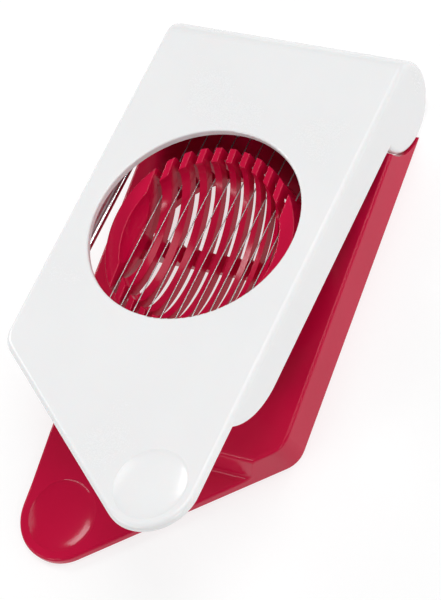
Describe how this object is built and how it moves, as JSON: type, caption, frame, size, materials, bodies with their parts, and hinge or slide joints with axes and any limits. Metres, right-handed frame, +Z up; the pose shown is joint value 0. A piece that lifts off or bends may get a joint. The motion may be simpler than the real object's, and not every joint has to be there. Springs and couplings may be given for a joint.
{
  "type": "egg slicer",
  "caption": "Hand-held egg slicer: a base with a slotted oval cradle and a hinged lid that carries a row of cutting wires, with two offset thumb tabs.",
  "frame": {"origin": "on the table, under the middle of the slicer's bounding box at rest", "axes": "+X to the right seen from the thumb tabs, +Y from the tabs towards the hinge, +Z up"},
  "size_m": [0.085, 0.1764, 0.0555],
  "materials": {
    "red_plastic": "glossy moulded crimson",
    "white_plastic": "glossy moulded white",
    "wire_steel": "drawn stainless wire",
    "rod_steel": "bright drawn rod",
    "ferrule_steel": "crimped stainless sleeve"
  },
  "bodies": {
    "base_body": {"base": "red_plastic", "hinge_rod": "rod_steel"},
    "lid_body": {"lid": "white_plastic", "wire_frame": "rod_steel", "cutting_wire_01": "wire_steel", "cutting_wire_02": "wire_steel", "cutting_wire_03": "wire_steel", "cutting_wire_04": "wire_steel", "cutting_wire_05": "wire_steel", "cutting_wire_06": "wire_steel", "cutting_wire_07": "wire_steel", "cutting_wire_08": "wire_steel", "cutting_wire_09": "wire_steel", "cutting_wire_10": "wire_steel", "front_ferrule_01": "ferrule_steel", "front_ferrule_02": "ferrule_steel", "front_ferrule_03": "ferrule_steel", "front_ferrule_04": "ferrule_steel", "front_ferrule_05": "ferrule_steel", "front_ferrule_06": "ferrule_steel", "front_ferrule_07": "ferrule_steel", "front_ferrule_08": "ferrule_steel", "front_ferrule_09": "ferrule_steel", "front_ferrule_10": "ferrule_steel", "rear_ferrule_01": "ferrule_steel", "rear_ferrule_02": "ferrule_steel", "rear_ferrule_03": "ferrule_steel", "rear_ferrule_04": "ferrule_steel", "rear_ferrule_05": "ferrule_steel", "rear_ferrule_06": "ferrule_steel", "rear_ferrule_07": "ferrule_steel", "rear_ferrule_08": "ferrule_steel", "rear_ferrule_09": "ferrule_steel", "rear_ferrule_10": "ferrule_steel"}
  },
  "joints": [
    {"name": "lid_hinge", "type": "hinge", "parent": "base_body", "child": "lid_body", "pos_m": [0, 0.074, 0.0146], "axis": [-1, 0, 0], "range_deg": [-10.3, 94.7]}
  ]
}
